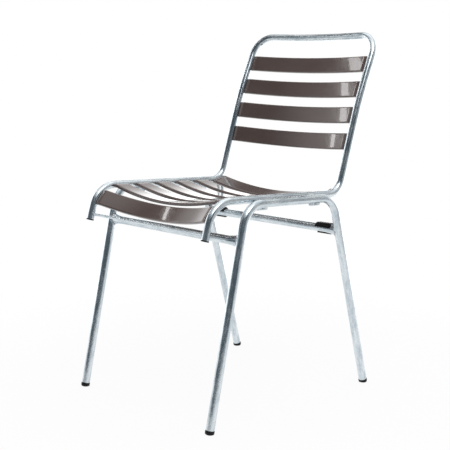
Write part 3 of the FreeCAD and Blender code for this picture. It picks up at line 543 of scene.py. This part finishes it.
def select_where(piece, kind, wanted):
    """Selects the faces or edges of a piece, in edit mode, that the test picks."""
    bpy.ops.object.mode_set(mode="EDIT")
    bpy.ops.mesh.select_mode(type=kind)
    bpy.ops.mesh.select_all(action="DESELECT")
    bpy.ops.object.mode_set(mode="OBJECT")
    mesh = piece.data
    for element in (mesh.polygons if kind == "FACE" else mesh.edges):
        if kind == "FACE":
            chosen = wanted(element.center, element.normal)
        else:
            chosen = wanted(*(mesh.vertices[index].co for index in element.vertices))
        if chosen:
            element.select = True
    bpy.ops.object.mode_set(mode="EDIT")


def round_edges(piece, width, angle=50):
    """Takes the sharp edges off with a small bevel."""
    bevel = piece.modifiers.new("soft_edges", "BEVEL")
    bevel.width = width
    bevel.segments = 2
    bevel.limit_method = "ANGLE"
    bevel.angle_limit = math.radians(angle)
    select_only(piece)
    bpy.ops.object.modifier_apply(modifier=bevel.name)
    bpy.ops.object.shade_smooth_by_angle(angle=math.radians(35))


plate_zinc = zinc_finish("plate_zinc", follows_tube=False, tone=0.95)
rail_direction = (LEG_REAR_CORNER - LEG_FRONT_CORNER).normalized()
rail_up = along_x.cross(rail_direction)
rail_tilt = math.atan2(rail_direction.z, rail_direction.y)
for end, along_rail in (("front", LEG_FRONT_CORNER + rail_direction * PLATE_FROM_FRONT),
                        ("rear", LEG_REAR_CORNER - rail_direction * PLATE_FROM_REAR)):
    for word, side in (("left", -1), ("right", 1)):
        middle = along_rail + rail_up * (PLATE_HEIGHT / 2 - PLATE_DROP)
        middle.x = side * (PLATE_INNER + PLATE_OUTER) / 2
        bpy.ops.object.select_all(action="DESELECT")
        bpy.ops.mesh.primitive_cube_add(size=1)
        plate = bpy.context.object
        plate.name = "spacer_" + end + "_" + word
        plate.scale = (PLATE_OUTER - PLATE_INNER, PLATE_LENGTH, PLATE_HEIGHT)
        bpy.ops.object.transform_apply(location=False, rotation=False, scale=True)
        select_where(plate, "EDGE", lambda first, second: first.z < 0 and second.z < 0
                     and abs(first.y - second.y) < 0.001)
        bpy.ops.mesh.bevel(offset=PLATE_CORNER, segments=6)
        bpy.ops.object.mode_set(mode="OBJECT")
        plate.rotation_euler = (rail_tilt, 0, 0)
        plate.location = middle
        bpy.ops.object.transform_apply(location=True, rotation=True, scale=False)
        hole_at = middle - rail_up * (PLATE_HEIGHT / 2 - PLATE_HOLE_UP) - along_x * PLATE_DRILL_BACK
        drill(plate, hole_at, along_x, PLATE_HOLE_RADIUS, 2 * PLATE_DRILL_BACK)
        round_edges(plate, PLATE_SOFT_EDGE)
        set_finish(plate, plate_zinc)
        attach(plate, "root")
        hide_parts("spacer_plate_" + end + "_" + word)


# Slats. Each is a pressed channel of glass-fibre reinforced plastic, dipped in the middle, with a
# rounded top edge and a lip turned down at the front and back. The brown lacquer is glossy.

SLAT_HALF = 0.1799
SLAT_FLAT_END = 0.010
SLAT_RUN = SLAT_HALF - SLAT_FLAT_END
SLAT_END_BEND = 0.025
SLAT_WIDTH = 0.038
SLAT_LIP = 0.0065
SLAT_WALL = 0.0025
SLAT_EDGE = 0.003
SLAT_SOFT_EDGE = 0.0004
DIP_BEND_SHARE = 0.97
END_BLOCK = 0.014
BLOCK_RISE = 0.0015
BLOCK_SLACK = 0.0005
SLAT_PLACES = {
    "seat_slat_1": (-0.24551, 0.4399, 50.217, 0.027),
    "seat_slat_2": (-0.18782, 0.46412, -2.289, 0.020),
    "seat_slat_3": (-0.12636, 0.46166, -2.289, 0.020),
    "seat_slat_4": (-0.06491, 0.45921, -2.289, 0.020),
    "seat_slat_5": (-0.00346, 0.45675, -2.289, 0.020),
    "seat_slat_6": (0.05799, 0.45429, -2.289, 0.020),
    "seat_slat_7": (0.11864, 0.45392, 16.618, 0.020),
    "back_slat_1": (0.17279, 0.56303, 72.4, 0.018),
    "back_slat_2": (0.1915, 0.62161, 71.478, 0.0155),
    "back_slat_3": (0.21296, 0.67924, 67.681, 0.013),
    "back_slat_4": (0.2373, 0.73571, 66.5, 0.0105),
}


def slat_path(dip):
    """The slat's line from end to end: flat, bent down, a long shallow arc, and the same again."""
    slope = 2 * math.atan(dip / SLAT_RUN)
    middle_bend = DIP_BEND_SHARE * (SLAT_RUN ** 2 + dip ** 2) / (2 * dip) - SLAT_END_BEND
    corners = [Vector((-SLAT_HALF, 0, 0)), Vector((-SLAT_RUN, 0, 0)),
               Vector((0, 0, -SLAT_RUN * math.tan(slope))), Vector((SLAT_RUN, 0, 0)),
               Vector((SLAT_HALF, 0, 0))]
    return corners, [SLAT_END_BEND, middle_bend, SLAT_END_BEND]


def press_slat(dip):
    """One slat in its own frame, with its top at height 0 at the ends and its wide faces shaded flat."""
    corners, bend_radii = slat_path(dip)
    steps = bend_path(corners, bend_radii)
    bpy.ops.object.select_all(action="DESELECT")
    bpy.ops.mesh.primitive_plane_add(size=1, location=(-SLAT_HALF, 0, -SLAT_LIP / 2),
                                     rotation=(0, math.pi / 2, 0))
    slat = bpy.context.object
    slat.scale = (SLAT_LIP, SLAT_WIDTH, 1)
    bpy.ops.object.transform_apply(location=True, rotation=True, scale=True)
    bpy.ops.object.mode_set(mode="EDIT")
    bpy.ops.mesh.select_mode(type="VERT")
    bpy.ops.mesh.select_all(action="DESELECT")
    bpy.ops.object.mode_set(mode="OBJECT")
    for vertex in slat.data.vertices:
        vertex.select = vertex.co.z > -SLAT_LIP / 2
    bpy.ops.object.mode_set(mode="EDIT")
    bpy.ops.mesh.bevel(offset=SLAT_EDGE, segments=7, affect="VERTICES")
    bpy.ops.mesh.select_mode(type="FACE")
    bpy.ops.mesh.select_all(action="SELECT")
    draw_along(steps, corners[0])
    close_and_smooth()
    select_where(slat, "FACE", lambda centre, normal: normal.z < -0.9 and abs(normal.x) < 0.6)
    bpy.ops.mesh.inset(thickness=SLAT_WALL)
    bpy.ops.mesh.extrude_region_move(TRANSFORM_OT_translate={"value": (0, 0, BLOCK_RISE)})
    for side in (-1, 1):
        bpy.ops.mesh.select_all(action="SELECT")
        bpy.ops.mesh.bisect(plane_co=(side * (SLAT_HALF - END_BLOCK), 0, 0), plane_no=(1, 0, 0))
    bpy.ops.object.mode_set(mode="OBJECT")
    inner = SLAT_WIDTH / 2 - SLAT_WALL - BLOCK_SLACK
    select_where(slat, "FACE", lambda centre, normal: normal.z < -0.9 and abs(normal.x) < 0.6
                 and abs(centre.y) < inner and abs(centre.x) < SLAT_HALF - END_BLOCK)
    rise = SLAT_LIP - BLOCK_RISE - SLAT_WALL
    bpy.ops.mesh.extrude_region_move(TRANSFORM_OT_translate={"value": (0, 0, rise)})
    bpy.ops.mesh.select_all(action="SELECT")
    bpy.ops.mesh.remove_doubles(threshold=0.000001)
    bpy.ops.mesh.normals_make_consistent(inside=False)
    bpy.ops.object.mode_set(mode="OBJECT")
    round_edges(slat, SLAT_SOFT_EDGE, angle=60)
    flat = slat.modifiers.new("flat_faces", "WEIGHTED_NORMAL")
    flat.keep_sharp = True
    flat.weight = 100
    select_only(slat)
    bpy.ops.object.modifier_apply(modifier=flat.name)
    return slat


def lacquer_finish():
    """Brown lacquer, glossy, with a faint wave in its gloss and the finest dust."""
    material, board, shader = new_finish("brown_lacquer", Coat_Weight=0.8, Coat_Roughness=0.03, IOR=1.5)
    place = board.add("TexCoord", {}, {}, output=3)
    cloud = board.noise(board.stretch(place, (0.35, 1, 1)), 22.0, detail=3.0).between(0.3, 0.7)
    dust = board.noise(place, 1500.0, detail=1.0).between(0.55, 0.8)
    wave = board.noise(board.stretch(place, (0.25, 1, 1)), 36.0, detail=1.0)
    brown = board.blend(cloud, (0.124, 0.084, 0.074), (0.142, 0.100, 0.088))
    board.tree.links.new(board.blend(dust * 0.25, brown, (0.17, 0.14, 0.125)).socket,
                         shader.inputs["Base Color"])
    board.tree.links.new((0.10 + cloud * 0.05 + dust * 0.05).socket, shader.inputs["Roughness"])
    bump = board.add("Bump", {}, {"Height": wave + dust * 0.02, "Strength": 0.22, "Distance": 0.0014})
    board.tree.links.new(bump.socket, shader.inputs["Normal"])
    return material


lacquer = lacquer_finish()
pressed = {}
for node, (y, z, tilt, dip) in SLAT_PLACES.items():
    if dip not in pressed:
        pressed[dip] = press_slat(dip)
        pressed[dip].name = "pressing"
    slat = pressed[dip].copy()
    slat.data = pressed[dip].data.copy()
    slat.name = "slat_" + node.replace("_slat", "")
    bpy.context.collection.objects.link(slat)
    slat.rotation_euler = (math.radians(tilt), 0, 0)
    slat.location = (0, y, z)
    select_only(slat)
    bpy.ops.object.transform_apply(location=True, rotation=True, scale=False)
    set_finish(slat, lacquer)
    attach(slat, "root")
    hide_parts(node)
for spare in pressed.values():
    bpy.data.objects.remove(spare)


# Lugs. A short plate of 3 mm steel under each slat end, cut hollow on its outer side to sit against
# the seat tube and welded there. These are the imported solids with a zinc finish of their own.

lug_zinc = zinc_finish("lug_zinc", follows_tube=False, tone=0.9)
for node in ("seat_slat_lugs", "back_slat_lugs"):
    set_finish(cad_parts[node], lug_zinc)


# Screws. Twenty-two pan-head screws hold the slats from below, through the lugs and into the end
# blocks. Each is zinc plated and has a hexagon socket.

SCREW_X = 0.1734
HEAD_RADIUS = 0.0045
HEAD_LOW = -0.0107
HEAD_TOP = -0.0081
HEAD_RIM = 0.0014
SHANK_RADIUS = 0.0025
SHANK_TOP = -0.0012
SOCKET_RADIUS = 0.0021
SOCKET_DEPTH = 0.0015
SOCKET_FLOOR_RADIUS = 0.97 * SOCKET_RADIUS
SOCKET_POINT_RADIUS = 0.1 * SOCKET_RADIUS
SOCKET_POINT_DEPTH = 0.0004
SOCKET_SLACK = 0.0001


def turn_screw():
    """One screw in a slat's frame, with its head down, at the middle of the width."""
    profile = [(SHANK_TOP, SHANK_RADIUS), (HEAD_TOP, SHANK_RADIUS), (HEAD_TOP, HEAD_RADIUS),
               (HEAD_LOW + HEAD_RIM, HEAD_RADIUS)]
    for step in range(1, 6):
        turn = math.pi / 2 * step / 5
        profile.append((HEAD_LOW + HEAD_RIM * (1 - math.sin(turn)),
                        HEAD_RADIUS - HEAD_RIM * (1 - math.cos(turn))))
    profile.append((HEAD_LOW, SOCKET_RADIUS))
    profile.append((HEAD_LOW + SOCKET_DEPTH, SOCKET_FLOOR_RADIUS))
    profile.append((HEAD_LOW + SOCKET_DEPTH + SOCKET_POINT_DEPTH, SOCKET_POINT_RADIUS))
    screw = turn_part("screw", profile, Vector((0, 0, 0)), ALONG_Z, sides=24, sharp_angle=35)
    for vertex in screw.data.vertices:
        reach = math.hypot(vertex.co.x, vertex.co.y)
        low_enough = vertex.co.z < HEAD_LOW + SOCKET_DEPTH + SOCKET_SLACK
        if low_enough and SOCKET_SLACK < reach < SOCKET_RADIUS + SOCKET_SLACK:
            corner = (math.atan2(vertex.co.y, vertex.co.x) + math.pi / 6) % (math.pi / 3) - math.pi / 6
            flat = SOCKET_RADIUS * math.cos(math.pi / 6) / math.cos(corner)
            vertex.co.x *= flat / reach
            vertex.co.y *= flat / reach
    return screw


def screw_finish():
    """Bright zinc plate, brushed a little by the driver, with patches of tarnish."""
    material, board, shader = new_finish("plated_screw", Metallic=1.0)
    place = board.add("TexCoord", {}, {}, output=3)
    marks = board.noise(place, 1400.0, detail=2.0).between(0.35, 0.7)
    tarnish = board.noise(place, 220.0, detail=2.0).between(0.4, 0.7)
    plated = board.blend(marks, (0.52, 0.53, 0.53), (0.68, 0.69, 0.68))
    board.tree.links.new(board.blend(tarnish * 0.5, plated, (0.42, 0.40, 0.34)).socket,
                         shader.inputs["Base Color"])
    board.tree.links.new((0.22 + marks * 0.14).socket, shader.inputs["Roughness"])
    bump = board.add("Bump", {}, {"Height": marks, "Strength": 0.2, "Distance": 0.0002})
    board.tree.links.new(bump.socket, shader.inputs["Normal"])
    return material


plated_screw = screw_finish()
one_screw = turn_screw()
for group in ("seat", "back"):
    copies = []
    for node, (y, z, tilt, dip) in SLAT_PLACES.items():
        if not node.startswith(group):
            continue
        for side in (-1, 1):
            copy = one_screw.copy()
            copy.data = one_screw.data.copy()
            bpy.context.collection.objects.link(copy)
            slat_frame = Matrix.Translation((0, y, z)) @ Matrix.Rotation(math.radians(tilt), 4, "X")
            copy.data.transform(slat_frame @ Matrix.Translation((side * SCREW_X, 0, 0)))
            copies.append(copy)
    screws = join_pieces(group + "_screw_set", copies)
    set_finish(screws, plated_screw)
    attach(screws, "root")
    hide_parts(group + "_slat_screws")
bpy.data.objects.remove(one_screw)


# Foot caps. A black moulded cap is pressed into each leg end: a plug inside the tube and a thick
# rounded sole outside it, moulded at the leg's lean so that it stands flat.

CAP_RADIUS = 0.0098
CAP_SOLE_ROUND = 0.0042
CAP_TOP_ROUND = 0.0008
CAP_TOP_INSET = 0.002
CAP_CUT_SPARE = 0.0015


def moulded_finish():
    """Black moulded plastic: a fine matt grain, paler where it is rubbed."""
    material, board, shader = new_finish("black_moulding", IOR=1.5, Specular_IOR_Level=0.25)
    place = board.add("TexCoord", {}, {}, output=3)
    grain = board.noise(place, 1100.0, detail=2.0).between(0.3, 0.7)
    rubbed = board.noise(place, 120.0, detail=3.0).between(0.5, 0.8)
    black = board.blend(grain, (0.004, 0.004, 0.005), (0.009, 0.009, 0.011))
    board.tree.links.new(board.blend(rubbed * 0.4, black, (0.022, 0.022, 0.025)).socket,
                         shader.inputs["Base Color"])
    board.tree.links.new((0.38 + grain * 0.14).socket, shader.inputs["Roughness"])
    bump = board.add("Bump", {}, {"Height": grain, "Strength": 0.25, "Distance": 0.0003})
    board.tree.links.new(bump.socket, shader.inputs["Normal"])
    return material


moulding = moulded_finish()
for end, foot, up_leg in (("front", FOOT_FRONT, up_front_leg), ("rear", FOOT_REAR, up_rear_leg)):
    for word, side in (("left", -1), ("right", 1)):
        to_side = Vector((LEG_SIDE * side, 0, 0))
        profile = [(CAP_HEIGHT, LEG_RADIUS - CAP_TOP_INSET)]
        for step in range(5):
            turn = math.pi / 2 * step / 4
            profile.append((CAP_HEIGHT - CAP_TOP_ROUND * (1 - math.cos(turn)),
                            CAP_RADIUS - CAP_TOP_ROUND * (1 - math.sin(turn))))
        for step in range(9):
            turn = math.pi / 2 * step / 8
            profile.append((CAP_SOLE_ROUND * (1 - math.sin(turn)) - CAP_CUT_SPARE,
                            CAP_RADIUS - CAP_SOLE_ROUND * (1 - math.cos(turn))))
        cap = turn_part("sole_cap_" + end + "_" + word, profile, foot + to_side, up_leg, sides=44)
        bpy.ops.object.mode_set(mode="EDIT")
        bpy.ops.mesh.select_all(action="SELECT")
        bpy.ops.mesh.bisect(plane_co=(0, 0, 0), plane_no=(0, 0, 1), use_fill=True, clear_inner=True,
                            threshold=0.000001)
        bpy.ops.object.mode_set(mode="OBJECT")
        bpy.ops.object.shade_smooth_by_angle(angle=math.radians(35))
        set_finish(cap, moulding)
        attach(cap, "root")
        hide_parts("foot_cap_" + end + "_" + word)


# Nose plugs. A flat black plug closes each open end of the seat tube at the noses, with a soft rim
# that stands just proud of the tube.

PLUG_RADIUS = 0.0084
PLUG_THICK = 0.0024
PLUG_RIM = 0.0012
PLUG_NECK_RADIUS = SEAT_TUBE_RADIUS - 0.0015
PLUG_NECK = 0.001
PLUG_DISH_RADIUS = 0.6 * PLUG_RADIUS
PLUG_DISH_FLOOR = 0.55 * PLUG_RADIUS
PLUG_DISH_DEPTH = 0.0004

down_nose = (NOSE_END - NOSE_CORNER).normalized()
for word, side in (("left", -1), ("right", 1)):
    start = NOSE_END if side > 0 else other_side(NOSE_END)
    profile = [(-PLUG_NECK, PLUG_NECK_RADIUS), (0, PLUG_NECK_RADIUS), (0, PLUG_RADIUS),
               (PLUG_THICK - PLUG_RIM, PLUG_RADIUS)]
    for step in range(1, 7):
        turn = math.pi / 2 * step / 6
        profile.append((PLUG_THICK - PLUG_RIM * (1 - math.sin(turn)),
                        PLUG_RADIUS - PLUG_RIM * (1 - math.cos(turn))))
    profile.append((PLUG_THICK, PLUG_DISH_RADIUS))
    profile.append((PLUG_THICK - PLUG_DISH_DEPTH, PLUG_DISH_FLOOR))
    plug = turn_part("end_plug_" + word, profile, start, down_nose, sides=36, sharp_angle=35)
    set_finish(plug, moulding)
    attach(plug, "root")
    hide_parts("nose_plug_" + word)


# Stacking clips. Two black moulded clips snap round the rear cross tube beside the legs. Each is an
# open ring with a flat pad on top, where the chair above rests.

CLIP_INNER_END = 0.1497
CLIP_OUTER_END = 0.1892
CLIP_BORE = 0.0091
CLIP_RADIUS = 0.0122
CLIP_TURN = 260
CLIP_OPEN_FROM = 165
PAD_WIDTH = 0.015
PAD_TOP = 0.0126
PAD_LOW = 0.0085
PAD_EDGE = 0.0025
PAD_SLOPE = 0.0032
CLIP_SOFT_EDGE = 0.0005

for word, side in (("left", -1), ("right", 1)):
    bpy.ops.object.select_all(action="DESELECT")
    bpy.ops.mesh.primitive_plane_add(size=1)
    ring = bpy.context.object
    ring.scale = (CLIP_OUTER_END - CLIP_INNER_END, CLIP_RADIUS - CLIP_BORE, 1)
    bpy.ops.object.transform_apply(location=False, rotation=False, scale=True)
    out_from_axis = (CLIP_RADIUS + CLIP_BORE) / 2
    clip_middle = Vector((side * (CLIP_INNER_END + CLIP_OUTER_END) / 2, REAR_CROSS.y, REAR_CROSS.z))
    ring.location = clip_middle + Vector((0, out_from_axis, 0))
    bpy.ops.object.transform_apply(location=True, rotation=False, scale=False)
    ring.data.transform(Matrix.Translation(clip_middle)
                        @ Matrix.Rotation(math.radians(CLIP_OPEN_FROM - CLIP_TURN), 4, "X")
                        @ Matrix.Translation(-clip_middle))
    bpy.ops.object.mode_set(mode="EDIT")
    bpy.ops.mesh.select_all(action="SELECT")
    bpy.ops.mesh.spin(steps=52, angle=-math.radians(CLIP_TURN), center=clip_middle, axis=(1, 0, 0))
    close_and_smooth()
    bpy.ops.object.select_all(action="DESELECT")
    bpy.ops.mesh.primitive_cube_add(size=1)
    pad = bpy.context.object
    pad.scale = (CLIP_OUTER_END - CLIP_INNER_END, PAD_WIDTH, PAD_TOP - PAD_LOW)
    bpy.ops.object.transform_apply(location=False, rotation=False, scale=True)
    for vertex in pad.data.vertices:
        if vertex.co.z > 0 and vertex.co.x * side < 0:
            vertex.co.x += side * PAD_SLOPE
    select_where(pad, "EDGE", lambda first, second: first.z > 0 and second.z > 0
                 and abs(first.y - second.y) < 0.0001)
    bpy.ops.mesh.bevel(offset=PAD_EDGE, segments=6)
    bpy.ops.object.mode_set(mode="OBJECT")
    pad.data.transform(Matrix.Translation(clip_middle + Vector((0, 0, (PAD_TOP + PAD_LOW) / 2))))
    moulded = ring.modifiers.new("pad", "BOOLEAN")
    moulded.object = pad
    moulded.operation = "UNION"
    select_only(ring)
    bpy.ops.object.modifier_apply(modifier=moulded.name)
    bpy.data.objects.remove(pad)
    ring.name = "stacking_saddle_" + word
    round_edges(ring, CLIP_SOFT_EDGE)
    set_finish(ring, moulding)
    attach(ring, "root")
    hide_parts("stacking_clip_" + word)


# The studio. A plain pale floor that runs to white, a bright backdrop, a soft light above, a strip
# light at the left, and a dim room in front, which the metal and the lacquer reflect. The camera
# stands a little above the seat.

CAMERA_PLACE = Vector((1.5898, -1.5670, 0.7326))
CAMERA_YAW = 45.97
CAMERA_PITCH = -9.23
CAMERA_ROLL = 0.29
CAMERA_LENS = 79.25
FLOOR_HALF = 1.3
FLOOR_WHITE = 0.92
ROOM_SIDE = Vector((0.5, -0.866, 0))
BACKDROP_SIDE = Vector((-0.66, 0.75, 0))
FLAG_SIDE = Vector((0.64, 0.77, 0))
CHAIR_MIDDLE = Vector((0, 0, 0.42))
SLAT_ENDS = Vector((0.15, 0.2, 0.65))
TOP_LIGHT = Vector((1.2, -0.6, 2.4))
STRIP_LIGHT = Vector((-1.64, -0.67, 1.6))


def white_floor():
    """A matt white floor. The camera sees it nearly white, with the chair's faint shadow."""
    material, board, shader = new_finish("pale_floor", Roughness=0.9)
    place = board.add("TexCoord", {}, {}, output=3)
    cloud = board.noise(place, 1.5, detail=2.0)
    board.tree.links.new(board.blend(cloud, (0.90, 0.90, 0.90), (0.92, 0.92, 0.92)).socket,
                         shader.inputs["Base Color"])
    white = board.add("Emission", {}, {"Color": (1, 1, 1, 1), "Strength": 1.0})
    seen = (board.add("LightPath", {}, {}, output=0) + board.add("LightPath", {}, {}, output=3)
            + board.add("LightPath", {}, {}, output=6))
    distance = board.add("VectorMath", {"operation": "LENGTH"}, {0: place}, output=1)
    whiteness = FLOOR_WHITE + distance.between(0.4, 1.1) * (1 - FLOOR_WHITE)
    matt = Signal(board, shader.outputs[0])
    both = board.add("MixShader", {}, {0: seen * whiteness, 1: matt, 2: white})
    surface = material.node_tree.nodes["Material Output"].inputs["Surface"]
    board.tree.links.new(both.socket, surface)
    return material


def soft_light(name, place, aim, width, height, power):
    """A soft light that points at the aim."""
    lamp = bpy.data.lights.new(name, "AREA")
    lamp.shape = "RECTANGLE"
    lamp.size = width
    lamp.size_y = height
    lamp.energy = power
    light = bpy.data.objects.new(name, lamp)
    bpy.context.collection.objects.link(light)
    light.location = place
    light.rotation_euler = (aim - place).to_track_quat("-Z", "Y").to_euler()


def studio_surroundings():
    """White for the camera. The chair sees a bright backdrop, a white ceiling and a dim room."""
    world = bpy.data.worlds.new("studio")
    bpy.context.scene.world = world
    world.use_nodes = True
    board = Board(world.node_tree)
    background = world.node_tree.nodes["Background"]
    direction = board.add("TexCoord", {}, {}, output=0)
    to_x = board.add("SeparateXYZ", {}, {0: direction}, output=0)
    to_y = board.add("SeparateXYZ", {}, {0: direction}, output=1)
    to_top = board.add("SeparateXYZ", {}, {0: direction}, output=2)

    def toward(side):
        return to_x * side.x + to_y * side.y

    room = toward(ROOM_SIDE).between(0.08, 0.42)
    ceiling = to_top.between(0.65, 0.85)
    dim = room * (1 - ceiling)
    upper_wall = to_top.between(0.2, 0.4) * (1 - ceiling)
    left_gap = to_top.between(0.42, 0.55) * (1 - ceiling) * (to_x * -1.0).between(0.2, 0.6)
    right_flag = toward(FLAG_SIDE).between(0.8, 0.97)
    glow = toward(BACKDROP_SIDE).between(0.1, 0.8) * (1 - upper_wall)
    light = (1.0 - dim * 0.85) * (1.0 - upper_wall * 0.3) * (1.0 - right_flag * 0.5) + glow * 1.1
    light = light * (1.0 - left_gap * 0.8)
    camera_ray = board.add("LightPath", {}, {}, output=0)
    strength = camera_ray + light * (1 - camera_ray)
    board.tree.links.new(strength.socket, background.inputs["Strength"])
    tint = board.blend(dim * (1 - camera_ray), (1, 1, 1), (0.76, 0.90, 1.0))
    board.tree.links.new(tint.socket, background.inputs["Color"])


bpy.ops.object.select_all(action="DESELECT")
bpy.ops.mesh.primitive_plane_add(size=2 * FLOOR_HALF)
floor = bpy.context.object
floor.name = "studio_floor"
set_finish(floor, white_floor())
studio_surroundings()
soft_light("top_light", TOP_LIGHT, CHAIR_MIDDLE, 1.4, 1.4, 16)
soft_light("side_strip", STRIP_LIGHT, SLAT_ENDS, 0.06, 0.9, 1.0)

lens = bpy.data.cameras.new("camera")
lens.lens = CAMERA_LENS
lens.sensor_width = 36
lens.clip_start = 0.05
lens.clip_end = 50
camera = bpy.data.objects.new("camera", lens)
bpy.context.collection.objects.link(camera)
camera.location = CAMERA_PLACE
camera.rotation_euler = (Matrix.Rotation(math.radians(CAMERA_YAW), 4, "Z")
                         @ Matrix.Rotation(math.radians(90 + CAMERA_PITCH), 4, "X")
                         @ Matrix.Rotation(math.radians(CAMERA_ROLL), 4, "Z")).to_euler()
bpy.context.scene.camera = camera
bpy.context.scene.view_settings.view_transform = "Standard"
